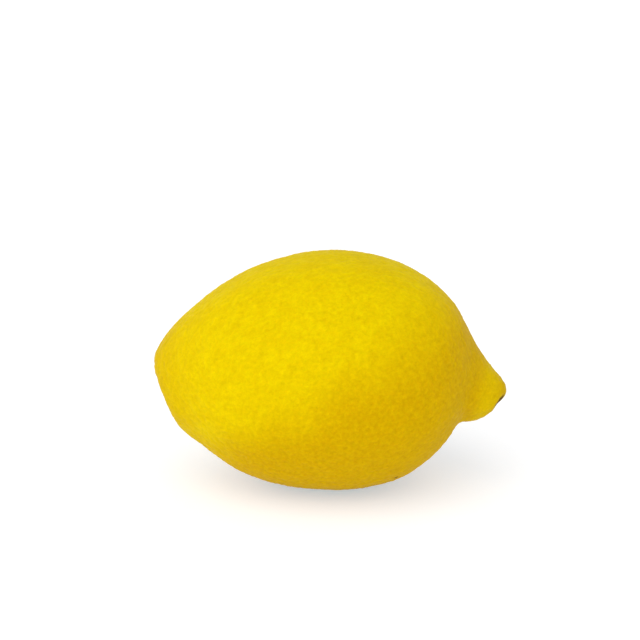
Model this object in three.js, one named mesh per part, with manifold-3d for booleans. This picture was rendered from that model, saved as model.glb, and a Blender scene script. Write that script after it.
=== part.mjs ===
// A whole fresh lemon with its stem button, lying on its side.
// Millimetres, +Z up. The origin is the middle of the fruit's box on the plane that it rests on,
// +X points to the nipple, -X to the stem end.
import * as THREE from 'three';
import { mergeVertices } from 'three/addons/utils/BufferGeometryUtils.js';
import Module from 'manifold-3d';

// ---- driving dimensions -------------------------------------------------------------------------

// The outline in the upright plane through the axis, as stations from the stem end to the nipple.
// Each station is one ring of the peel: [x, height] of its top, then [x, height] of its bottom.
const STEM_POLE = [-40.5, 26.5];
const STATIONS = [
  { top: [-41.6, 29.6], bottom: [-39.2, 23.6] }, // floor of the stem hollow
  { top: [-44.7, 31.0], bottom: [-39.2, 21.8] }, // rim of the stem hollow
  { top: [-45.4, 33.8], bottom: [-38.7, 18.8] }, // shoulder
  { top: [-43.6, 37.8], bottom: [-38.3, 15.3] },
  { top: [-39.2, 43.4], bottom: [-32.7, 11.5] },
  { top: [-32.2, 49.5], bottom: [-25.4, 6.1] },
  { top: [-23.0, 55.7], bottom: [-17.1, 2.4] },
  { top: [-10.5, 60.1], bottom: [-7.8, 0.6] },
  { top: [0.6, 61.5], bottom: [1.2, 0.1] }, // belly
  { top: [12.2, 60.1], bottom: [10.1, 1.0] },
  { top: [22.8, 55.7], bottom: [18.9, 3.9] },
  { top: [29.8, 50.0], bottom: [26.2, 9.3] },
  { top: [33.6, 44.5], bottom: [30.6, 14.2] }, // neck
  { top: [36.7, 38.2], bottom: [33.0, 16.7] }, // furrow round the nipple
  { top: [40.6, 32.5], bottom: [36.6, 17.4] },
  { top: [43.5, 29.0], bottom: [39.9, 18.9] }, // nipple
  { top: [45.1, 26.1], bottom: [41.6, 21.1] },
];
const TIP_POLE = [44.1, 23.1];

// The station that makes the rim of the stem hollow.
const RIM_STATION = 2;

// The stem end is turned sideways: how far, and from which x on.
const STEM_TURN = THREE.MathUtils.degToRad(4);
const STEM_TURN_START = -12;
const STEM_TURN_END = -44;

// The fruit's segments show as long, very low lobes in the peel.
const LOBE_COUNT = 9;
const LOBE_HEIGHT = 0.16;
const LOBE_TWIST = 0.9;

// The furrow is deepest under the nipple and fades out over it.
const FURROW_STATION = 13.6;
const FURROW_HALF_WIDTH = 0.7;
const FURROW_DEPTH = 0.9;

// The peel has settled into a small flat where the fruit rests.
const FLAT_DEPTH = 0.4;

// Fineness of the peel's mesh.
const RINGS_PER_STATION = 2;
const SECTORS = 48;

// The stem button: a lobed calyx disc with the cut stub of the stalk.
const BUTTON_GAP = 0.3;
const BUTTON_RADIUS = 2.9;
const BUTTON_LOBES = 5;
const BUTTON_LOBE_DEPTH = 0.09;
const BUTTON_THICKNESS = 0.7;
const STUB_RADIUS = 1.3;
const STUB_HEIGHT = 1.5;
const BUTTON_SECTORS = 40;

const wasm = await Module();
wasm.setup();

// ---- outline ------------------------------------------------------------------------------------

// The stations' outline as one closed loop: stem pole, along the top, tip pole, back along the bottom.
function outlineLoop() {
  const loop = [STEM_POLE];
  for (const station of STATIONS) {
    loop.push(station.top);
  }
  loop.push(TIP_POLE);
  for (const station of [...STATIONS].reverse()) {
    loop.push(station.bottom);
  }
  return loop.map(([x, z]) => new THREE.Vector3(x, 0, z));
}

// A cubic B-spline rounds its control points off by a sixth of their bend, so they stand out by that much.
function controlPoints(loop) {
  const count = loop.length;
  return loop.map((point, i) => {
    const before = loop[(i + count - 1) % count];
    const after = loop[(i + 1) % count];
    const neighbours = new THREE.Vector3().addVectors(before, after);
    return point.clone().multiplyScalar(4 / 3).addScaledVector(neighbours, -1 / 6);
  });
}

// The point at a whole or broken place in the closed loop of control points.
function splinePoint(controls, place) {
  const count = controls.length;
  const wrapped = ((place % count) + count) % count;
  const index = Math.floor(wrapped);
  const t = wrapped - index;
  const weights = [
    (1 - t) ** 3 / 6,
    (3 * t ** 3 - 6 * t ** 2 + 4) / 6,
    (-3 * t ** 3 + 3 * t ** 2 + 3 * t + 1) / 6,
    t ** 3 / 6,
  ];
  const point = new THREE.Vector3();
  weights.forEach((weight, k) => {
    point.addScaledVector(controls[(index + count - 1 + k) % count], weight);
  });
  return point;
}

// ---- the peel -----------------------------------------------------------------------------------

const CONTROLS = controlPoints(outlineLoop());
const LAST_STATION = STATIONS.length + 1;

// Turns a point of the stem end sideways about an upright line through the start of the turn,
// by the full turn where STEM_TURN_END is reached.
function turnStemEnd(point) {
  const reach = (STEM_TURN_START - point.x) / (STEM_TURN_START - STEM_TURN_END);
  const angle = STEM_TURN * Math.max(0, reach) ** 2;
  const x = point.x - STEM_TURN_START;
  const y = point.y;
  point.x = STEM_TURN_START + x * Math.cos(angle) + y * Math.sin(angle);
  point.y = -x * Math.sin(angle) + y * Math.cos(angle);
  return point;
}

function lobeHeight(station, angle) {
  const along = Math.sin((Math.PI * station) / LAST_STATION) ** 2;
  return LOBE_HEIGHT * along * Math.cos(LOBE_COUNT * angle + LOBE_TWIST * along);
}

function furrowDepth(station, angle) {
  const across = (station - FURROW_STATION) / FURROW_HALF_WIDTH;
  const under = 0.5 - 0.5 * Math.sin(angle);
  return FURROW_DEPTH * Math.exp(-(across ** 2)) * under ** 2;
}

// One point of the peel: station runs from 0 at the stem pole, angle from 0 at the +Y side over the top.
function peelPoint(station, angle) {
  const top = splinePoint(CONTROLS, station);
  const bottom = splinePoint(CONTROLS, CONTROLS.length - station);
  const centre = top.clone().add(bottom).multiplyScalar(0.5);
  const rise = top.clone().sub(centre);
  const side = new THREE.Vector3(0, rise.length(), 0);
  const spoke = rise.multiplyScalar(Math.sin(angle)).addScaledVector(side, Math.cos(angle));
  const height = lobeHeight(station, angle) - furrowDepth(station, angle);
  const length = spoke.length();
  if (length > 0) {
    spoke.multiplyScalar(Math.max(0, length + height) / length);
  }
  return turnStemEnd(centre.add(spoke));
}

// The peel as one closed surface: rings of sectors between two poles.
function peelGeometry() {
  const ringCount = LAST_STATION * RINGS_PER_STATION - 1;
  const positions = [...peelPoint(0, 0).toArray()];
  for (let ring = 1; ring <= ringCount; ring += 1) {
    for (let sector = 0; sector < SECTORS; sector += 1) {
      const angle = (2 * Math.PI * sector) / SECTORS;
      positions.push(...peelPoint(ring / RINGS_PER_STATION, angle).toArray());
    }
  }
  positions.push(...peelPoint(LAST_STATION, 0).toArray());
  const tip = ringCount * SECTORS + 1;
  const indices = [];
  for (let sector = 0; sector < SECTORS; sector += 1) {
    const next = (sector + 1) % SECTORS;
    indices.push(0, 1 + next, 1 + sector);
    for (let ring = 0; ring < ringCount - 1; ring += 1) {
      const here = 1 + ring * SECTORS;
      const there = here + SECTORS;
      indices.push(here + sector, there + next, there + sector);
      indices.push(here + sector, here + next, there + next);
    }
    const last = 1 + (ringCount - 1) * SECTORS;
    indices.push(last + sector, last + next, tip);
  }
  const geometry = new THREE.BufferGeometry();
  geometry.setAttribute('position', new THREE.Float32BufferAttribute(positions, 3));
  geometry.setIndex(indices);
  return geometry;
}

// ---- solids -------------------------------------------------------------------------------------

function toSolid(geometry) {
  const bare = geometry.clone();
  bare.deleteAttribute('normal');
  bare.deleteAttribute('uv');
  const merged = mergeVertices(bare);
  return new wasm.Manifold(new wasm.Mesh({
    numProp: 3,
    vertProperties: new Float32Array(merged.attributes.position.array),
    triVerts: new Uint32Array(merged.index.array),
  }));
}

function toGeometry(solid) {
  const mesh = solid.getMesh();
  const geometry = new THREE.BufferGeometry();
  geometry.setAttribute('position', new THREE.BufferAttribute(mesh.vertProperties, 3));
  geometry.setIndex(new THREE.BufferAttribute(mesh.triVerts, 1));
  geometry.computeVertexNormals();
  return geometry;
}

// A block of ground below the resting plane, wider than the fruit's box all round.
function groundBlock(box) {
  const size = box.getSize(new THREE.Vector3());
  const block = new THREE.BoxGeometry(2 * size.x, 2 * size.y, size.z);
  block.translate(0, 0, -size.z / 2);
  return block;
}

// How far the fruit is moved so that it rests flat on the origin's plane with its box centred there.
function restingShift(geometry) {
  geometry.computeBoundingBox();
  const box = geometry.boundingBox;
  const centre = box.getCenter(new THREE.Vector3());
  return new THREE.Vector3(-centre.x, -centre.y, -box.min.z - FLAT_DEPTH);
}

// ---- materials ----------------------------------------------------------------------------------

function peelMaterial() {
  return new THREE.MeshStandardMaterial({ color: 0xe8cc10, roughness: 0.45, metalness: 0 });
}

function buttonMaterial() {
  return new THREE.MeshStandardMaterial({ color: 0x7a7238, roughness: 0.85, metalness: 0 });
}

// ---- sub-parts ----------------------------------------------------------------------------------

function lemon(peel) {
  const solid = toSolid(peel).subtract(toSolid(groundBlock(peel.boundingBox)));
  const mesh = new THREE.Mesh(toGeometry(solid), peelMaterial());
  mesh.name = 'lemon';
  return mesh;
}

// The calyx disc and stub, turned about +Z with its underside at z = 0.
function buttonGeometry() {
  const edge = BUTTON_THICKNESS;
  const profile = [
    [0, 0],
    [0.6 * BUTTON_RADIUS, 0.05],
    [0.93 * BUTTON_RADIUS, 0.3 * edge],
    [BUTTON_RADIUS, 0.75 * edge],
    [0.95 * BUTTON_RADIUS, edge],
    [0.7 * BUTTON_RADIUS, 0.8 * edge],
    [1.15 * STUB_RADIUS, edge],
    [STUB_RADIUS, 0.6 * STUB_HEIGHT],
    [STUB_RADIUS, STUB_HEIGHT],
    [0, STUB_HEIGHT - 0.1],
  ].map(([radius, height]) => new THREE.Vector2(radius, height));
  const disc = new THREE.LatheGeometry(profile, BUTTON_SECTORS);
  disc.rotateX(Math.PI / 2);
  const position = disc.attributes.position;
  for (let i = 0; i < position.count; i += 1) {
    const x = position.getX(i);
    const y = position.getY(i);
    const radius = Math.hypot(x, y);
    const outward = THREE.MathUtils.smoothstep(radius, STUB_RADIUS, BUTTON_RADIUS);
    const scale = 1 + BUTTON_LOBE_DEPTH * outward * Math.cos(BUTTON_LOBES * Math.atan2(y, x));
    position.setXY(i, x * scale, y * scale);
  }
  return disc;
}

// The button sits on the floor of the stem hollow and faces the way that the stem end does.
function stemButton(shift) {
  const floor = peelPoint(0, 0);
  const rimTop = peelPoint(RIM_STATION, Math.PI / 2);
  const rimBottom = peelPoint(RIM_STATION, -Math.PI / 2);
  const rimSide = peelPoint(RIM_STATION, 0).sub(peelPoint(RIM_STATION, Math.PI));
  const outward = rimTop.sub(rimBottom).cross(rimSide).normalize();
  const solid = toSolid(buttonGeometry());
  const mesh = new THREE.Mesh(toGeometry(solid), buttonMaterial());
  mesh.name = 'stem_button';
  mesh.quaternion.setFromUnitVectors(new THREE.Vector3(0, 0, 1), outward);
  mesh.position.copy(floor).addScaledVector(outward, BUTTON_GAP).add(shift);
  return mesh;
}

const fruit = new THREE.Group();
fruit.name = 'lemon_fruit';
const peel = peelGeometry();
const shift = restingShift(peel);
peel.translate(shift.x, shift.y, shift.z);
peel.computeBoundingBox();
fruit.add(lemon(peel));
fruit.add(stemButton(shift));

export default fruit;
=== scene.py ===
"""A whole fresh lemon lying on its side: the peel and the stem button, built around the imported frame."""
import math

import bpy
import numpy as np
from mathutils import Matrix, Vector


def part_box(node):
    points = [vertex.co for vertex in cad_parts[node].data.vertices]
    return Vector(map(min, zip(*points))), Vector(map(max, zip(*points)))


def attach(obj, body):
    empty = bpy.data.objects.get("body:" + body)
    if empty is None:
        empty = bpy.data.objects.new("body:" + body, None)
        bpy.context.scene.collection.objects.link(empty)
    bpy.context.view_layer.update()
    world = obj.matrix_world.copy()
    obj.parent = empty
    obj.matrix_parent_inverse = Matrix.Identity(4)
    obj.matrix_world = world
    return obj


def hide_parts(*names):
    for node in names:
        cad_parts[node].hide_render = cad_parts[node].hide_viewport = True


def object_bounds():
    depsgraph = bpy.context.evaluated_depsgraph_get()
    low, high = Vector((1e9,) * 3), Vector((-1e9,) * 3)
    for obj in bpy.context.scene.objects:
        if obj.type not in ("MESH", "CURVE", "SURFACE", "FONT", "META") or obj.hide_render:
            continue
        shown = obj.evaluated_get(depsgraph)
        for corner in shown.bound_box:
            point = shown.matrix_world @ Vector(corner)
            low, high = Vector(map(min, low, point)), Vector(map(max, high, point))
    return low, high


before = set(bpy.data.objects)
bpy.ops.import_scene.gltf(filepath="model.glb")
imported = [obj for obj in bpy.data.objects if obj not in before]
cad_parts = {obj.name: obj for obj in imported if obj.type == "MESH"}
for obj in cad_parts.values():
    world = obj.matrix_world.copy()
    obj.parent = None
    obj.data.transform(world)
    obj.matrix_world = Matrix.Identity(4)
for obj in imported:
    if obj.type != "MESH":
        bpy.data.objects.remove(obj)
CAD_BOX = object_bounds()

MM = 0.001

# ---- the fruit's own sizes, in millimetres ------------------------------------------------------

# Rings of the peel from the stem end to the nipple: x and height of the top, x and height of the bottom.
STEM_POLE = (-40.5, 26.5)
STATIONS = (
    ((-41.6, 29.6), (-39.2, 23.6)),  # floor of the stem hollow
    ((-44.7, 31.0), (-39.2, 21.8)),  # rim of the stem hollow
    ((-45.4, 33.8), (-38.7, 18.8)),  # shoulder
    ((-43.6, 37.8), (-38.3, 15.3)),
    ((-39.2, 43.4), (-32.7, 11.5)),
    ((-32.2, 49.5), (-25.4, 6.1)),
    ((-23.0, 55.7), (-17.1, 2.4)),
    ((-10.5, 60.1), (-7.8, 0.6)),
    ((0.6, 61.5), (1.2, 0.1)),  # belly
    ((12.2, 60.1), (10.1, 1.0)),
    ((22.8, 55.7), (18.9, 3.9)),
    ((29.8, 50.0), (26.2, 9.3)),
    ((33.6, 44.5), (30.6, 14.2)),  # neck
    ((36.7, 38.2), (33.0, 16.7)),  # furrow round the nipple
    ((40.6, 32.5), (36.6, 17.4)),
    ((43.5, 29.0), (39.9, 18.9)),  # nipple
    ((45.1, 26.1), (41.6, 21.1)),
)
TIP_POLE = (44.1, 23.1)
RIM_STATION = 2

# The stem end turns sideways: by nothing at STEM_TURN_START and by STEM_TURN at STEM_TURN_END, both in x.
STEM_TURN = math.radians(4)
STEM_TURN_START = -12
STEM_TURN_END = -44

# Low lobes run along the fruit. A furrow crosses its underside at a place between two of the stations.
LOBE_COUNT = 9
LOBE_HEIGHT = 0.16
LOBE_TWIST = 0.9
FURROW_STATION = 13.6
FURROW_HALF_WIDTH = 0.7
FURROW_DEPTH = 0.9

# Finer than the frame: swellings, a cobbled skin with oil-gland pits, puckers, and the scar on the nipple.
SPHERE_SIDE = 129
SWELL_HEIGHT = 0.22
SWELL_SPAN = 14.0
RIPPLE_HEIGHT = 0.15
RIPPLE_SPAN = 3.4
COBBLE_HEIGHT = 0.22
COBBLE_SPAN = 1.0
PORE_SPACING = 1.3
PORE_RADIUS = 0.62
PORE_DEPTH = 0.07
PORE_SIZE_LOW = 0.6
PORE_SIZE_HIGH = 1.15
SCAR_PLACE = (43.8, -3.0, 22.7)
SCAR_RADIUS = 2.7
SCAR_DEPTH = 0.22
SCAR_RIM = 0.14
SCAR_CRUMBS = 0.5
PUCKER_COUNT = 11
PUCKER_HEIGHT = 0.12
OUTLINE_STEPS = 1201
SEED = 7

# Distances along the peel, from the stem or the tip, between which a feature comes in or dies away.
STEM_CALM = (2.5, 7)
TIP_CALM = (0.5, 5)
PUCKER_RISE = (2.6, 4.6)
PUCKER_FALL = (6, 14)

# The puckers stray round the hollow by this many radians, in patches this wide.
PUCKER_STRAY = 3.0
PUCKER_STRAY_SPAN = 6

# Pores are thrown this many times as thickly as one to each square of their spacing, before those that fall
# nearer than the spacing are dropped. They keep this far from the scar.
PORE_CROWDING = 3.0
PORE_KEEP_OFF = 2

# The scar's ragged edge and its crumbs, and its sunken core and raised lip as parts of its radius.
SCAR_RAGGED = 1.1
SCAR_CRUMB_SPAN = 0.7
SCAR_CORE = 0.45
SCAR_LIP_PLACE = 1.15
SCAR_LIP_WIDTH = 0.45

# The stem button: a lobed, wrinkled disc with the cut stub of the stalk on it.
BUTTON_SEGMENTS = 160
BUTTON_RINGS = 90
BUTTON_STEPS = 200
BUTTON_RADIUS = 2.9
BUTTON_LOBES = 5
BUTTON_LOBE_DEPTH = 0.09
BUTTON_THICKNESS = 0.7
STUB_RADIUS = 1.3
STUB_HEIGHT = 1.5
WRINKLE_COUNT = 25
WRINKLE_HEIGHT = 0.06
WRINKLE_RISE = (0.2, 0.5)
CUT_FACE = (1.28, 1.36)
GRAIN_HEIGHT = 0.05
GRAIN_SPAN = 0.5

# ---- finishes -----------------------------------------------------------------------------------

# Colours are linear; the last value is alpha.
CLEAR_YELLOW = (0.67, 0.5, 0.0007, 1)
# ripe yellow, which is also the painted shade on the fruit's underside and nipple end
RIPE_AND_SHADED_YELLOW = (0.54, 0.317, 0.0006, 1)
PALE_YELLOW = (0.73, 0.57, 0.001, 1)
DEEP_YELLOW = (0.55, 0.33, 0.0006, 1)
GREEN_YELLOW = (0.4, 0.38, 0.01, 1)
OCHRE = (0.46, 0.27, 0.003, 1)
SCAR_BROWN = (0.12, 0.055, 0.012, 1)
SCAR_DARK = (0.03, 0.014, 0.005, 1)
CALYX_GREEN = (0.17, 0.16, 0.05, 1)
CALYX_BROWN = (0.13, 0.085, 0.035, 1)
CALYX_PALE = (0.4, 0.31, 0.16, 1)
FLOOR_WHITE = (0.8, 0.7, 0.585, 1)
FLOOR_GLOW = (0.52, 0.745, 1.0, 1)
FLOOR_GLOW_STRENGTH = 0.497
PEEL_ROUGHNESS = 0.5
PATCH_ROUGHNESS = 0.08
PORE_ROUGHNESS = 0.1
DRY_ROUGHNESS = 0.3
PEEL_GLOSS = 0.015
PEEL_GLOSS_TINT = (1.0, 0.85, 0.2, 1)
PEEL_GLOW = 0.12
PEEL_GLOW_TINT = (1.0, 0.55, 0.1)
PEEL_GLOW_DEPTH = 1.2
FINE_PORE_SPAN = 0.62
FINE_PORE_SHARE = 0.6
FINE_GRAIN_SPAN = 0.35
FINE_PORE_HEIGHT = 0.03
CALYX_ROUGHNESS = 0.78
CALYX_GRAIN_SPAN = 0.9
CALYX_GRAIN_ROUGHNESS = 0.2
CALYX_FIBRE_SPAN = 0.25
CALYX_FIBRE_SHARE = 0.3
CALYX_GLOSS = 0.3
CALYX_FIBRE_HEIGHT = 0.04

# The cut face browns between these two distances from its axis, by this share and up to twice it in the fibres.
CUT_RING = (0.5, 0.95)
CUT_RING_SHARE = 0.4

FLOOR_ROUGHNESS = 0.9
FLOOR_TOOTH_SPAN = 2
FLOOR_TOOTH_ROUGHNESS = 0.05

# The way in which the peel deepens to its ripest yellow, and where along it from the fruit's middle: the ripe
# yellow is also painted shade, laid on the underside and the nipple end, the side of the fruit away from the
# light. The
# border strays by the last two values: that far, in patches that wide.
RIPE_AND_SHADED_SIDE = (0.5, 0.0, -0.86)
RIPE_AND_SHADE_BAND = (-10, 8)
RIPE_AND_SHADE_STRAY = 16
RIPE_AND_SHADE_STRAY_SPAN = 22

# Bands along the peel, from the stem or the tip, and how ripe, green or ochre each is; the stem's ripe band
# also paints shade there, and the nipple's band takes some of the painted shade off the nipple. STEM_GREEN and
# TIP_OCHRE are twice that in the middle of the mottling's patches.
STEM_RIPE_AND_SHADE_BAND = (6, 30)
STEM_RIPE_AND_SHADE = 0.62
NIPPLE_BAND = (9, 15)
NIPPLE_PALER = 0.5
# The neck's ochre is partly the peel's own colour and partly painted shade in the furrow round the nipple.
NECK_RISE = (10, 16)
NECK_FALL = (18, 30)
NECK_OCHRE_AND_SHADE = 0.3
STEM_GREEN_BAND = (2.5, 9)
STEM_GREEN = 0.3
TIP_OCHRE_BAND = (3, 9)
TIP_OCHRE = 0.3

# Mottling, pores and dry marks: how wide the patches are, and the share of the second colour in each.
PATCH_SPAN = 3.2
PATCH_SHARE = 0.28
FLECK_SPAN = 0.8
FLECK_SHARE = 0.22
PORE_SHARE = 0.15
BLEMISH_SHARE = 0.85

# Painted light and shade: how much lighter the cobbles are painted than the dips between them, which are
# painted darker, and how much the finest grain varies at random.
COBBLE_SHADE_TONE = 0.37
GRAIN_TONE = 0.2
GRAIN_TONE_SPAN = 0.45

# Dry marks on the peel: the middle and the radius of each, and how much of the radius is solid and how ragged
# its edge is.
MARK_CORE = 0.6
MARK_RAGGED = 0.9
MARK_RAGGED_SPAN = 0.8
BLEMISHES = (
    ((16.5, -15.6, 7.2), 0.75),
    ((-9.0, 26.0, 44.0), 0.5),
    ((12.0, 22.5, 50.0), 0.35),
)

# ---- studio -------------------------------------------------------------------------------------

# The camera sees VIEW_WIDTH millimetres across at the fruit, and aims past its middle by the next two.
LENS = 85
SENSOR = 36
VIEW_ELEVATION = 17
VIEW_WIDTH = 164.6
VIEW_RIGHT = -2.7
VIEW_UP = 12.7
FLOOR_RADIUS = 6  # metres
FLOOR_SIDES = 96

# The sky's strength low down and overhead, and the two heights in degrees between which it changes.
HORIZON = 1.03
OVERHEAD = 0.68
HORIZON_TOP = 13
OVERHEAD_FROM = 32

# The key light's azimuth, elevation and spread in degrees, and its strength.
KEY = (-28, 45, 80, 1.6)


# ---- writing node trees as sums -----------------------------------------------------------------

def live(sockets, name=None):
    """The first socket in use, of that name if one is given."""
    return next(s for s in sockets if s.enabled and name in (None, s.name))


class Wire:
    """A socket that can stand in a sum: each sign in the sum adds its Math node to the tree."""

    def __init__(self, plant, socket):
        self.plant = plant
        self.socket = socket

    @property
    def is_vector(self):
        return self.socket.type == "VECTOR"

    def _join(self, operation, other=None, swap=False):
        vector = self.is_vector or (isinstance(other, Wire) and other.is_vector)
        vector = vector or isinstance(other, (tuple, Vector))
        kind = "ShaderNodeVectorMath" if vector else "ShaderNodeMath"
        made = self.plant.add(kind, operation=operation)
        values = [other, self] if swap else [self, other]
        for socket, value in zip(made.inputs, values):
            if value is not None:
                self.plant.feed(socket, value)
        return Wire(self.plant, live(made.outputs))

    def __add__(self, other):
        return self._join("ADD", other)

    def __radd__(self, other):
        return self._join("ADD", other)

    def __sub__(self, other):
        return self._join("SUBTRACT", other)

    def __rsub__(self, other):
        return self._join("SUBTRACT", other, swap=True)

    def __mul__(self, other):
        return self._join("MULTIPLY", other)

    def __truediv__(self, other):
        return self._join("DIVIDE", other)

    def __rtruediv__(self, other):
        return self._join("DIVIDE", other, swap=True)

    def __neg__(self):
        return self * -1.0

    def __pow__(self, other):
        return self._join("POWER", other)

    def times(self, number):
        """A vector made longer by a number."""
        made = self.plant.add("ShaderNodeVectorMath", {0: self, "Scale": number}, operation="SCALE")
        return Wire(self.plant, made.outputs[0])

    def call(self, operation, other=None):
        return self._join(operation, other)

    def length(self):
        made = self.plant.add("ShaderNodeVectorMath", {0: self}, operation="LENGTH")
        return Wire(self.plant, made.outputs["Value"])

    def dot(self, other):
        made = self.plant.add("ShaderNodeVectorMath", {0: self, 1: other}, operation="DOT_PRODUCT")
        return Wire(self.plant, made.outputs["Value"])

    def split(self):
        made = self.plant.add("ShaderNodeSeparateXYZ", {0: self})
        return [Wire(self.plant, s) for s in made.outputs]


class Plant:
    """A node tree with short ways to add nodes to it."""

    def __init__(self, tree):
        self.tree = tree

    def feed(self, socket, value):
        if isinstance(value, Wire):
            self.tree.links.new(value.socket, socket)
        elif isinstance(value, bpy.types.NodeSocket):
            self.tree.links.new(value, socket)
        else:
            socket.default_value = value

    def add(self, kind, inputs=None, **settings):
        made = self.tree.nodes.new(kind)
        for name, value in settings.items():
            setattr(made, name, value)
        for key, value in (inputs or {}).items():
            self.feed(made.inputs[key], value)
        return made

    def wire(self, kind, inputs=None, **settings):
        return Wire(self, self.add(kind, inputs, **settings).outputs[0])

    def join(self, x, y, z):
        return self.wire("ShaderNodeCombineXYZ", {0: x, 1: y, 2: z})

    def ramp(self, value, low, high, start=0.0, end=1.0):
        """start below low, end above high, and an even curve between."""
        return self.wire(
            "ShaderNodeMapRange",
            {"Value": value, "From Min": low, "From Max": high, "To Min": start, "To Max": end},
            interpolation_type="SMOOTHSTEP",
        )

    def rising(self, value, band):
        """0 below a band given in millimetres, 1 above it."""
        return self.ramp(value, band[0] * MM, band[1] * MM)

    def falling(self, value, band):
        """1 below a band given in millimetres, 0 above it."""
        return self.ramp(value, band[0] * MM, band[1] * MM, 1.0, 0.0)


class GrowingTree(Plant):
    """A Geometry Nodes tree whose sizes are named inputs."""

    def __init__(self, name):
        super().__init__(bpy.data.node_groups.new(name, "GeometryNodeTree"))
        self.values = {}
        self.entry = self.tree.nodes.new("NodeGroupInput")
        self.tree.interface.new_socket("Geometry", in_out="OUTPUT", socket_type="NodeSocketGeometry")
        self.tree.interface.new_socket("Geometry", in_out="INPUT", socket_type="NodeSocketGeometry")

    def size(self, name, value, kind="NodeSocketFloat"):
        """A named input, its value on this fruit, and the wire that carries it."""
        item = self.tree.interface.new_socket(name, in_out="INPUT", socket_type=kind)
        self.values[item.identifier] = value
        return Wire(self, self.entry.outputs[name])

    def named(self, name, kind="FLOAT"):
        made = self.add("GeometryNodeInputNamedAttribute", {"Name": name}, data_type=kind)
        return Wire(self, live(made.outputs))

    def store(self, geometry, name, value):
        made = self.add(
            "GeometryNodeStoreNamedAttribute",
            {"Geometry": geometry, "Name": name},
            data_type="FLOAT",
            domain="POINT",
        )
        self.feed(live(made.inputs, "Value"), value)
        return made.outputs["Geometry"]

    def move(self, geometry, position=None, offset=None):
        inputs = {"Geometry": geometry}
        if position is not None:
            inputs["Position"] = position
        if offset is not None:
            inputs["Offset"] = offset
        return self.add("GeometryNodeSetPosition", inputs).outputs[0]

    def finish(self, geometry, material):
        smooth = self.add("GeometryNodeSetShadeSmooth", {"Geometry": geometry}).outputs[0]
        real = self.add("GeometryNodeRealizeInstances", {"Geometry": smooth}).outputs[0]
        coated = self.add("GeometryNodeSetMaterial", {"Geometry": real, "Material": material}).outputs[0]
        self.add("NodeGroupOutput", {0: coated})


def grown(name, tree, start):
    """The tree run on a starting mesh, kept as a plain mesh object of that name."""
    piece = bpy.data.objects.new(name, start)
    bpy.context.scene.collection.objects.link(piece)
    modifier = piece.modifiers.new("grow", "NODES")
    modifier.node_group = tree.tree
    for identifier, value in tree.values.items():
        modifier[identifier] = value
    seen = piece.evaluated_get(bpy.context.evaluated_depsgraph_get())
    mesh = bpy.data.meshes.new_from_object(seen)
    piece.modifiers.clear()
    piece.data = mesh
    mesh.name = name
    bpy.data.meshes.remove(start)
    return piece


# ---- the fruit's outline ------------------------------------------------------------------------

def outline_controls():
    """The closed loop of the stations, with each point pushed out by what the spline rounds off."""
    tops = [top for top, _ in STATIONS]
    bottoms = [bottom for _, bottom in reversed(STATIONS)]
    loop = np.array([STEM_POLE, *tops, TIP_POLE, *bottoms])
    neighbours = np.roll(loop, 1, axis=0) + np.roll(loop, -1, axis=0)
    return loop * 4 / 3 - neighbours / 6


def spline_points(controls, places):
    """Points of the closed cubic B-spline at whole or broken places in its loop of controls."""
    index = np.floor(places).astype(int)
    t = (places - index)[:, None]
    weights = ((1 - t) ** 3, 3 * t**3 - 6 * t**2 + 4, -3 * t**3 + 3 * t**2 + 3 * t + 1, t**3)
    count = len(controls)
    return sum(w * controls[(index + k - 1) % count] for k, w in enumerate(weights)) / 6


LAST_STATION = len(STATIONS) + 1
CONTROLS = outline_controls()


def rod_mesh(name, columns):
    """A straight rod of points that carries one value of each column a point, for a tree to sample."""
    count = len(next(iter(columns.values())))
    mesh = bpy.data.meshes.new(name)
    points = [(k / (count - 1), 0, 0) for k in range(count)]
    mesh.from_pydata(points, [(k, k + 1) for k in range(count - 1)], [])
    for column, values in columns.items():
        flat = np.asarray(values, np.float32)
        kind, field = ("FLOAT_VECTOR", "vector") if flat.ndim == 2 else ("FLOAT", "value")
        mesh.attributes.new(column, kind, "POINT").data.foreach_set(field, flat.ravel())
    return mesh


def peel_outline():
    """The top and bottom outlines in steps of equal run along the peel, and the length of that run."""
    fine = np.linspace(0, LAST_STATION, 4000)  # close enough for true distances along the peel
    top = spline_points(CONTROLS, fine)
    bottom = spline_points(CONTROLS, len(CONTROLS) - fine)
    steps = sum(np.hypot(*np.diff(line, axis=0).T) for line in (top, bottom)) / 2
    run = np.concatenate([[0], np.cumsum(steps)])
    station = np.interp(np.linspace(0, run[-1], OUTLINE_STEPS), run, fine)
    upright = [
        np.insert(spline_points(CONTROLS, place), 1, 0, axis=1) * MM
        for place in (station, len(CONTROLS) - station)
    ]
    rod = rod_mesh("peel outline", {"station": station, "top": upright[0], "bottom": upright[1]})
    return rod, run[-1] * MM


def smooth_bump(distance, radius):
    """1 at the middle, 0 from the radius outwards, flat at both."""
    near = (1.0 - (distance / radius) ** 2.0).call("MAXIMUM", 0.0)
    return near * near


def noise(tree, span, detail=2.0, roughness=0.5, offset=(0, 0, 0)):
    """Even noise about 0, roughly -0.5 to 0.5, its patches about a span wide; the offset sets noises apart."""
    place = tree.wire("GeometryNodeInputPosition")
    made = tree.wire(
        "ShaderNodeTexNoise",
        {"Vector": place + offset, "Scale": 1 / span, "Detail": detail, "Roughness": roughness},
        normalize=True,
    )
    return made - 0.5


def sample_rod(tree, rod, name, share, kind="FLOAT"):
    """The rod's column of that name, read at a share of its length."""
    made = tree.add("GeometryNodeSampleCurve", {"Curves": rod}, mode="FACTOR", data_type=kind)
    tree.feed(live(made.inputs, "Value"), tree.named(name, kind))
    tree.feed(made.inputs["Factor"], share)
    return Wire(tree, live(made.outputs, "Value"))


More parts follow.
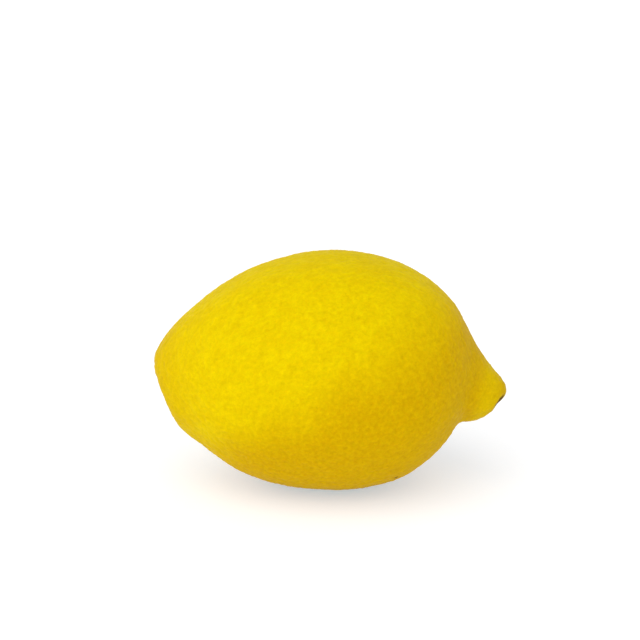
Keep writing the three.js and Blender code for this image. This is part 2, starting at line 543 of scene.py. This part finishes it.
def peel_tree(material, run, box):
    """Grows the peel round its outline: form, lobes, furrow, swellings, pores, scar and resting flat."""
    tree = GrowingTree("grow the peel")
    side = tree.size("Grid Side", SPHERE_SIDE, "NodeSocketInt")
    lobe_height = tree.size("Lobe Height", LOBE_HEIGHT * MM)
    furrow_depth = tree.size("Furrow Depth", FURROW_DEPTH * MM)
    stem_turn = tree.size("Stem Turn", STEM_TURN)
    swell_height = tree.size("Swell Height", SWELL_HEIGHT * MM)
    ripple_height = tree.size("Ripple Height", RIPPLE_HEIGHT * MM)
    cobble_height = tree.size("Cobble Height", COBBLE_HEIGHT * MM)
    pucker_height = tree.size("Pucker Height", PUCKER_HEIGHT * MM)
    pore_spacing = tree.size("Pore Spacing", PORE_SPACING * MM)
    pore_radius = tree.size("Pore Radius", PORE_RADIUS * MM)
    pore_depth = tree.size("Pore Depth", PORE_DEPTH * MM)
    scar_radius = tree.size("Scar Radius", SCAR_RADIUS * MM)
    scar_depth = tree.size("Scar Depth", SCAR_DEPTH * MM)
    seed = tree.size("Seed", SEED, "NodeSocketInt")

    # a ball of six square grids
    rod = tree.add("GeometryNodeMeshToCurve", {"Mesh": tree.entry.outputs["Geometry"]}).outputs[0]
    sides = {"Vertices X": side, "Vertices Y": side, "Vertices Z": side}
    ball = tree.add("GeometryNodeMeshCube", {"Size": (2, 2, 2), **sides}).outputs["Mesh"]
    place = tree.wire("GeometryNodeInputPosition")
    spread = place.times(math.pi / 4).call("TANGENT").call("NORMALIZE")

    # each ring hangs between the top and bottom outlines
    east, north, up = spread.split()
    share = (-east).call("ARCCOSINE") / math.pi
    station = sample_rod(tree, rod, "station", share)
    top = sample_rod(tree, rod, "top", share, "FLOAT_VECTOR")
    bottom = sample_rod(tree, rod, "bottom", share, "FLOAT_VECTOR")
    rise = (top - bottom).times(0.5)
    radius = rise.length()
    angle = up.call("ARCTAN2", north)
    spoke = rise.times(angle.call("SINE")) + tree.join(0.0, radius * angle.call("COSINE"), 0.0)
    waist = (station * (math.pi / LAST_STATION)).call("SINE") ** 2.0
    lobes = lobe_height * waist * (angle * LOBE_COUNT + waist * LOBE_TWIST).call("COSINE")
    across = (station - FURROW_STATION) / FURROW_HALF_WIDTH
    under = 0.5 - angle.call("SINE") * 0.5
    furrow = furrow_depth * (-(across * across)).call("EXPONENT") * under * under
    stretch = (radius + lobes - furrow).call("MAXIMUM", 0.0) / radius
    straight = (top + bottom).times(0.5) + spoke.times(stretch)

    # the stem end turns sideways
    reach = (STEM_TURN_START * MM - straight.split()[0]) / ((STEM_TURN_START - STEM_TURN_END) * MM)
    reach = reach.call("MAXIMUM", 0.0)
    turned = tree.wire(
        "ShaderNodeVectorRotate",
        {"Vector": straight, "Center": (STEM_TURN_START * MM, 0, 0), "Angle": -(stem_turn * reach * reach)},
        rotation_type="Z_AXIS",
    )
    shape = tree.store(ball, "from_stem", share * run)
    shape = tree.store(shape, "from_tip", (1.0 - share) * run)
    shape = tree.store(shape, "round_angle", angle)
    shape = tree.move(shape, position=turned)

    # its box goes where the frame's solid has it
    bounding = tree.add("GeometryNodeBoundBox", {"Geometry": shape})
    low, high = Wire(tree, bounding.outputs["Min"]), Wire(tree, bounding.outputs["Max"])
    middle, crown = (low + high).times(0.5), high.split()[2]
    home = Vector((box[0] + box[1]) / 2)
    shift = tree.join(home.x - middle.split()[0], home.y - middle.split()[1], box[1].z - crown)
    shape = tree.move(shape, offset=shift)

    # swellings, ripples and cobbles, and puckers round the stem hollow
    normal = tree.wire("GeometryNodeInputNormal")
    from_stem, from_tip = tree.named("from_stem"), tree.named("from_tip")
    calm = tree.rising(from_stem, STEM_CALM) * tree.rising(from_tip, TIP_CALM)
    swell = noise(tree, SWELL_SPAN * MM, 1.0) * swell_height * 2.0
    ripple = noise(tree, RIPPLE_SPAN * MM, 2.0, offset=(0.3, 0.1, 0.7)) * ripple_height * 2.0
    cobble = noise(tree, COBBLE_SPAN * MM, 2.0, offset=(0.2, 0.8, 0.6))
    shape = tree.store(shape, "cobble", cobble * calm)
    bumps = tree.named("cobble") * cobble_height * 2.0
    ring = tree.rising(from_stem, PUCKER_RISE) * tree.falling(from_stem, PUCKER_FALL)
    stray = noise(tree, PUCKER_STRAY_SPAN * MM, 1.0, offset=(0.9, 0.2, 0.4)) * PUCKER_STRAY
    pucker = (tree.named("round_angle") * PUCKER_COUNT + stray).call("COSINE") * pucker_height * ring
    shape = tree.move(shape, offset=normal.times((swell + ripple) * calm + bumps + pucker))

    # oil-gland pores, scattered no nearer than their spacing
    scatter = tree.add(
        "GeometryNodeDistributePointsOnFaces",
        {
            "Mesh": shape,
            "Distance Min": pore_spacing,
            "Density Max": PORE_CROWDING / (pore_spacing * pore_spacing),
            "Seed": seed,
        },
        distribute_method="POISSON",
    ).outputs["Points"]
    any_size = tree.add(
        "FunctionNodeRandomValue", {2: PORE_SIZE_LOW, 3: PORE_SIZE_HIGH, "Seed": seed}, data_type="FLOAT"
    )
    pores = tree.store(scatter, "pore_size", Wire(tree, any_size.outputs[1]))
    near = tree.add("GeometryNodeProximity", {0: pores}, target_element="POINTS")
    gap = Wire(tree, near.outputs["Distance"])
    nearest = tree.add("GeometryNodeSampleNearest", {"Geometry": pores}, domain="POINT").outputs[0]
    look = tree.add("GeometryNodeSampleIndex", {"Geometry": pores, "Index": nearest}, data_type="FLOAT")
    tree.feed(live(look.inputs, "Value"), tree.named("pore_size"))
    size = Wire(tree, live(look.outputs))
    pit = smooth_bump(gap, pore_radius * size) * size
    from_scar = (tree.wire("GeometryNodeInputPosition") - tuple(c * MM for c in SCAR_PLACE)).length()
    pit = pit * tree.ramp(from_scar, scar_radius, scar_radius + PORE_KEEP_OFF * MM)
    shape = tree.store(shape, "pore", pit)

    # the dry scar of the style, sunk in the tip of the nipple
    jags = noise(tree, SCAR_RAGGED * MM, 3.0, offset=(0.5, 0.5, 0.1)) * SCAR_RAGGED * MM
    ragged = from_scar + jags
    inside = tree.ramp(ragged, scar_radius * SCAR_CORE, scar_radius, 1.0, 0.0)
    from_lip = (ragged - scar_radius * SCAR_LIP_PLACE).call("ABSOLUTE")
    lip = smooth_bump(from_lip, scar_radius * SCAR_LIP_WIDTH)
    crumbs = noise(tree, SCAR_CRUMB_SPAN * MM, 3.0) * inside * SCAR_CRUMBS * MM
    shape = tree.store(shape, "scar", inside)
    scar = lip * SCAR_RIM * MM + crumbs - inside * scar_depth
    skin = tree.wire("GeometryNodeInputNormal")
    shape = tree.move(shape, offset=skin.times(scar - pit * pore_depth))

    # it rests on its own small flat
    x, y, z = tree.wire("GeometryNodeInputPosition").split()
    shape = tree.move(shape, position=tree.join(x, y, z.call("MAXIMUM", box[0].z)))
    tree.finish(shape, material)
    return tree


# ---- the stem button ----------------------------------------------------------------------------

def button_profile():
    """From the middle of the cut stub down over the disc to its underside: radius and height."""
    edge = BUTTON_THICKNESS
    corners = np.array([
        (0.0, STUB_HEIGHT - 0.12),
        (0.55 * STUB_RADIUS, STUB_HEIGHT - 0.06),
        (0.92 * STUB_RADIUS, STUB_HEIGHT),
        (1.0 * STUB_RADIUS, STUB_HEIGHT - 0.1),
        (1.0 * STUB_RADIUS, 0.62 * STUB_HEIGHT),
        (1.15 * STUB_RADIUS, edge),
        (0.7 * BUTTON_RADIUS, 0.8 * edge),
        (0.95 * BUTTON_RADIUS, edge),
        (BUTTON_RADIUS, 0.75 * edge),
        (0.93 * BUTTON_RADIUS, 0.3 * edge),
        (0.6 * BUTTON_RADIUS, 0.06),
        (0.0, 0.0),
    ])
    steps = np.hypot(*np.diff(corners, axis=0).T)
    run = np.concatenate([[0], np.cumsum(steps)])
    even = np.linspace(0, run[-1], BUTTON_STEPS)
    radius, height = (np.interp(even, run, corners[:, k]) * MM for k in (0, 1))
    return rod_mesh("button outline", {"radius": radius, "height": height})


def button_tree(material):
    """Grows the stem button round its outline: lobes, radial wrinkles, and a woody grain."""
    tree = GrowingTree("grow the stem button")
    lobe_depth = tree.size("Lobe Depth", BUTTON_LOBE_DEPTH)
    wrinkle = tree.size("Wrinkle Height", WRINKLE_HEIGHT * MM)
    grain = tree.size("Grain Height", GRAIN_HEIGHT * MM)
    rod = tree.add("GeometryNodeMeshToCurve", {"Mesh": tree.entry.outputs["Geometry"]}).outputs[0]
    counts = {"Segments": BUTTON_SEGMENTS, "Rings": BUTTON_RINGS}
    ball = tree.add("GeometryNodeMeshUVSphere", counts).outputs["Mesh"]
    place = tree.wire("GeometryNodeInputPosition").call("NORMALIZE")
    x, y, z = place.split()
    share = z.call("ARCCOSINE") / math.pi
    radius, height = sample_rod(tree, rod, "radius", share), sample_rod(tree, rod, "height", share)
    angle = y.call("ARCTAN2", x)
    outward = tree.ramp(radius, STUB_RADIUS * MM, BUTTON_RADIUS * MM)
    lobed = radius * (1.0 + lobe_depth * outward * (angle * BUTTON_LOBES).call("COSINE"))
    ribs = (angle * WRINKLE_COUNT).call("COSINE") * wrinkle * outward * tree.rising(height, WRINKLE_RISE)
    placed = tree.join(lobed * angle.call("COSINE"), lobed * angle.call("SINE"), height + ribs)
    shape = tree.store(ball, "cut_face", tree.rising(height, CUT_FACE))
    shape = tree.store(shape, "from_axis", radius)
    shape = tree.move(shape, position=placed)
    rough = noise(tree, GRAIN_SPAN * MM, 4.0, 0.6) * grain * 2.0
    shape = tree.move(shape, offset=tree.wire("GeometryNodeInputNormal").times(rough))
    tree.finish(shape, material)
    return tree


def stem_direction():
    """The way that the stem hollow faces, turned sideways as the stem end is."""
    top = spline_points(CONTROLS, np.array([float(RIM_STATION)]))[0]
    bottom = spline_points(CONTROLS, np.array([float(len(CONTROLS) - RIM_STATION)]))[0]
    chord = top - bottom
    facing = Vector((-chord[1], 0, chord[0])).normalized()
    middle = (top[0] + bottom[0]) / 2
    reach = (STEM_TURN_START - middle) / (STEM_TURN_START - STEM_TURN_END)
    facing.rotate(Matrix.Rotation(-STEM_TURN * reach**2, 3, "Z"))
    return facing


def seat_button(button, box):
    """Turns the button to face out of the hollow and puts it where the frame's button is."""
    turn = Vector((0, 0, 1)).rotation_difference(stem_direction()).to_matrix().to_4x4()
    button.data.transform(turn)
    corners = np.array([v.co for v in button.data.vertices])
    middle = Vector((corners.min(0) + corners.max(0)) / 2)
    button.data.transform(Matrix.Translation((box[0] + box[1]) / 2 - middle))


# ---- materials ----------------------------------------------------------------------------------

def surface(name):
    """A new material and its one Principled shader, with its node tree as a Plant."""
    material = bpy.data.materials.new(name)
    material.use_nodes = True
    plant = Plant(material.node_tree)
    plant.tree.nodes.clear()
    shader = plant.add("ShaderNodeBsdfPrincipled")
    plant.add("ShaderNodeOutputMaterial", {"Surface": shader.outputs[0]})
    return material, plant, shader


def object_place(plant):
    return Wire(plant, plant.add("ShaderNodeTexCoord").outputs["Object"])


def shade_noise(plant, place, span, detail=2.0, roughness=0.5):
    return plant.wire(
        "ShaderNodeTexNoise",
        {"Vector": place, "Scale": 1 / span, "Detail": detail, "Roughness": roughness},
    )


def carried(plant, name):
    return Wire(plant, plant.add("ShaderNodeAttribute", attribute_name=name).outputs["Fac"])


def blend_colour(plant, share, first, second):
    """first where share is 0, second where it is 1."""
    inputs = {"Factor": share, 6: first, 7: second}  # 6 and 7 are the node's colours A and B
    return plant.add("ShaderNodeMix", inputs, data_type="RGBA", blend_type="MIX").outputs[2]


def mottling(plant, place, span, detail=3.0, roughness=0.6):
    """Patches about span millimetres wide, from 0 to 1."""
    return plant.ramp(shade_noise(plant, place, span * MM, detail, roughness), 0.3, 0.7)


def rough_bump(plant, shader, height, distance):
    bump = plant.add("ShaderNodeBump", {"Height": height, "Strength": 1.0, "Distance": distance})
    plant.feed(shader.inputs["Normal"], bump.outputs[0])


def spot(plant, place, centre, radius):
    """1 inside a ragged spot, 0 outside it."""
    jags = (shade_noise(plant, place, MARK_RAGGED_SPAN * MM, 3.0) - 0.5) * (MARK_RAGGED * MM)
    distance = (place - centre).length() + jags
    return plant.ramp(distance, radius * MARK_CORE, radius, 1.0, 0.0)


def peel_material(middle):
    """Waxy lemon peel: a clear yellow that deepens towards one side, partly as ripening and partly as painted
    shade, green at the stem, with brown scars, and painted light and shade on its cobbles.
    """
    material, plant, shader = surface("lemon_peel")
    place = object_place(plant)
    from_stem, from_tip = carried(plant, "from_stem"), carried(plant, "from_tip")

    # ripeness and painted shade: deeper across the fruit towards its underside and nipple end, more at the
    # stem, less on the nipple
    stray = (shade_noise(plant, place, RIPE_AND_SHADE_STRAY_SPAN * MM, 2.0) - 0.5) * (RIPE_AND_SHADE_STRAY * MM)
    ripe_and_shade = plant.rising((place - middle).dot(RIPE_AND_SHADED_SIDE) + stray, RIPE_AND_SHADE_BAND)
    ripe_and_shade = ripe_and_shade * (1.0 - plant.falling(from_tip, NIPPLE_BAND) * NIPPLE_PALER)
    ripe_and_shade = ripe_and_shade.call("MAXIMUM", plant.falling(from_stem, STEM_RIPE_AND_SHADE_BAND) * STEM_RIPE_AND_SHADE)
    neck = plant.rising(from_tip, NECK_RISE) * plant.falling(from_tip, NECK_FALL)
    # painted shade: the ripe yellow darkens the side of the fruit away from the light
    colour = blend_colour(plant, ripe_and_shade, CLEAR_YELLOW, RIPE_AND_SHADED_YELLOW)
    # partly painted shade: ochre darkens the neck and the furrow round the nipple
    colour = blend_colour(plant, neck * ripe_and_shade * NECK_OCHRE_AND_SHADE, colour, OCHRE)

    # mottling, pores and the two ends
    patch = mottling(plant, place, PATCH_SPAN)
    fleck = mottling(plant, place, FLECK_SPAN, 2.0)
    pore = carried(plant, "pore")
    colour = blend_colour(plant, patch * PATCH_SHARE, colour, DEEP_YELLOW)
    colour = blend_colour(plant, fleck * FLECK_SHARE, colour, PALE_YELLOW)
    colour = blend_colour(plant, pore * PORE_SHARE, colour, DEEP_YELLOW)
    green = plant.falling(from_stem, STEM_GREEN_BAND) * (1.0 + patch) * STEM_GREEN
    colour = blend_colour(plant, green, colour, GREEN_YELLOW)
    tip = plant.falling(from_tip, TIP_OCHRE_BAND) * (1.0 + patch) * TIP_OCHRE
    colour = blend_colour(plant, tip, colour, OCHRE)

    # the scar and the dry marks
    scar = carried(plant, "scar")
    colour = blend_colour(plant, scar, colour, blend_colour(plant, fleck, SCAR_DARK, SCAR_BROWN))
    marks = 0.0
    for centre, radius in BLEMISHES:
        marks = spot(plant, place, tuple(c * MM for c in centre), radius * MM).call("MAXIMUM", marks)
    colour = blend_colour(plant, marks * BLEMISH_SHARE, colour, SCAR_BROWN)

    # painted light and shade with the relief: cobbles painted lighter, the dips between them darker
    grain = shade_noise(plant, place, GRAIN_TONE_SPAN * MM, 1.0) - 0.5
    shade_and_grain_tone = 1.0 + carried(plant, "cobble") * COBBLE_SHADE_TONE + grain * GRAIN_TONE
    toned = plant.add("ShaderNodeHueSaturation", {"Value": shade_and_grain_tone, "Color": colour})
    plant.feed(shader.inputs["Base Color"], toned.outputs[0])
    rough = PEEL_ROUGHNESS + (patch - 0.5) * PATCH_ROUGHNESS + pore * PORE_ROUGHNESS
    plant.feed(shader.inputs["Roughness"], rough + (scar + marks) * DRY_ROUGHNESS)
    cell_inputs = {"Vector": place, "Scale": 1 / (FINE_PORE_SPAN * MM)}
    cells = plant.wire("ShaderNodeTexVoronoi", cell_inputs, feature="SMOOTH_F1")
    fine_grain = shade_noise(plant, place, FINE_GRAIN_SPAN * MM, 2.0)
    height = cells * FINE_PORE_SHARE + fine_grain * (1 - FINE_PORE_SHARE)
    rough_bump(plant, shader, height, FINE_PORE_HEIGHT * MM)
    shader.inputs["Specular IOR Level"].default_value = PEEL_GLOSS
    shader.inputs["Specular Tint"].default_value = PEEL_GLOSS_TINT
    shader.inputs["Subsurface Weight"].default_value = PEEL_GLOW
    shader.inputs["Subsurface Radius"].default_value = PEEL_GLOW_TINT
    shader.inputs["Subsurface Scale"].default_value = PEEL_GLOW_DEPTH * MM
    return material


def button_material():
    """Dry calyx wood, grey-green to brown, with a paler cut face on the stub."""
    material, plant, shader = surface("stem_button_wood")
    place = object_place(plant)
    grain = mottling(plant, place, CALYX_GRAIN_SPAN, 4.0, 0.65)
    fibre = mottling(plant, place, CALYX_FIBRE_SPAN, 3.0, 0.7)
    colour = blend_colour(plant, grain, CALYX_GREEN, CALYX_BROWN)
    colour = blend_colour(plant, fibre * CALYX_FIBRE_SHARE, colour, CALYX_PALE)
    cut = carried(plant, "cut_face")
    ring = plant.rising(carried(plant, "from_axis"), CUT_RING) * (1.0 + fibre) * CUT_RING_SHARE
    pale = blend_colour(plant, ring, CALYX_PALE, CALYX_BROWN)
    colour = blend_colour(plant, cut, colour, pale)
    plant.feed(shader.inputs["Base Color"], colour)
    plant.feed(shader.inputs["Roughness"], CALYX_ROUGHNESS + (grain - 0.5) * CALYX_GRAIN_ROUGHNESS)
    rough_bump(plant, shader, fibre, CALYX_FIBRE_HEIGHT * MM)
    shader.inputs["Specular IOR Level"].default_value = CALYX_GLOSS
    return material


def floor_material():
    """A matt white acrylic table, lit from below."""
    material, plant, shader = surface("studio_floor")
    place = object_place(plant)
    tooth = shade_noise(plant, place, FLOOR_TOOTH_SPAN * MM, 2.0)
    rough = FLOOR_ROUGHNESS + (tooth - 0.5) * FLOOR_TOOTH_ROUGHNESS
    plant.feed(shader.inputs["Roughness"], rough)
    shader.inputs["Base Color"].default_value = FLOOR_WHITE
    shader.inputs["Emission Color"].default_value = FLOOR_GLOW
    shader.inputs["Emission Strength"].default_value = FLOOR_GLOW_STRENGTH
    shader.inputs["Specular IOR Level"].default_value = 0.0
    return material


# ---- studio -------------------------------------------------------------------------------------

def make_floor():
    mesh = bpy.data.meshes.new("floor")
    corners = [
        (FLOOR_RADIUS * math.cos(a), FLOOR_RADIUS * math.sin(a), 0)
        for a in np.linspace(0, 2 * math.pi, FLOOR_SIDES, endpoint=False)
    ]
    mesh.from_pydata(corners, [], [range(len(corners))])
    mesh.materials.append(floor_material())
    floor = bpy.data.objects.new("floor", mesh)
    bpy.context.scene.collection.objects.link(floor)


def aim(thing, place, target):
    thing.location = place
    thing.rotation_euler = (Vector(target) - Vector(place)).to_track_quat("-Z", "Y").to_euler()


def sky():
    """White from the horizon up to HORIZON_TOP degrees, dimmer overhead."""
    world = bpy.data.worlds.new("studio")
    world.use_nodes = True
    plant = Plant(world.node_tree)
    upward = Wire(plant, plant.add("ShaderNodeTexCoord").outputs["Generated"]).split()[2]
    low, high = (math.sin(math.radians(angle)) for angle in (HORIZON_TOP, OVERHEAD_FROM))
    back = world.node_tree.nodes["Background"]
    back.inputs["Color"].default_value = (1.0, 1.0, 1.0, 1.0)
    plant.feed(back.inputs["Strength"], plant.ramp(upward, low, high, HORIZON, OVERHEAD))
    bpy.context.scene.world = world


def soft_sun(name, azimuth, elevation, spread, strength):
    """A wide soft light from far away: azimuth 0 is in front of the fruit, 90 on its right."""
    data = bpy.data.lights.new(name, "SUN")
    data.energy = strength
    data.angle = math.radians(spread)
    lamp = bpy.data.objects.new(name, data)
    bpy.context.scene.collection.objects.link(lamp)
    aim(lamp, ball_place(azimuth, elevation, 1.0), (0, 0, 0))


def ball_place(azimuth, elevation, distance):
    a, e = math.radians(azimuth), math.radians(elevation)
    return Vector((math.sin(a) * math.cos(e), -math.cos(a) * math.cos(e), math.sin(e))) * distance


def make_camera(box):
    middle = (box[0] + box[1]) / 2
    data = bpy.data.cameras.new("camera")
    data.lens = LENS
    data.sensor_width = SENSOR
    camera = bpy.data.objects.new("camera", data)
    bpy.context.scene.collection.objects.link(camera)
    distance = VIEW_WIDTH * MM * LENS / SENSOR
    place = middle + ball_place(0, VIEW_ELEVATION, distance)
    target = middle + Vector((VIEW_RIGHT * MM, 0, 0)) + ball_place(0, VIEW_ELEVATION + 90, VIEW_UP * MM)
    aim(camera, place, target)
    bpy.context.scene.camera = camera


# ---- the build ----------------------------------------------------------------------------------

def build():
    lemon_box, button_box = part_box("lemon"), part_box("stem_button")
    outline, run = peel_outline()
    material = peel_material(tuple((lemon_box[0] + lemon_box[1]) / 2))
    peel = grown("peel", peel_tree(material, run, lemon_box), outline)
    button = grown("stem_button_dry", button_tree(button_material()), button_profile())
    seat_button(button, button_box)
    for piece, node, slot in ((peel, "lemon", "peel"), (button, "stem_button", "calyx")):
        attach(piece, "root")
        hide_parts(node)


build()
make_floor()
sky()
soft_sun("key", *KEY)
make_camera(CAD_BOX)
bpy.context.scene.view_settings.view_transform = "Standard"
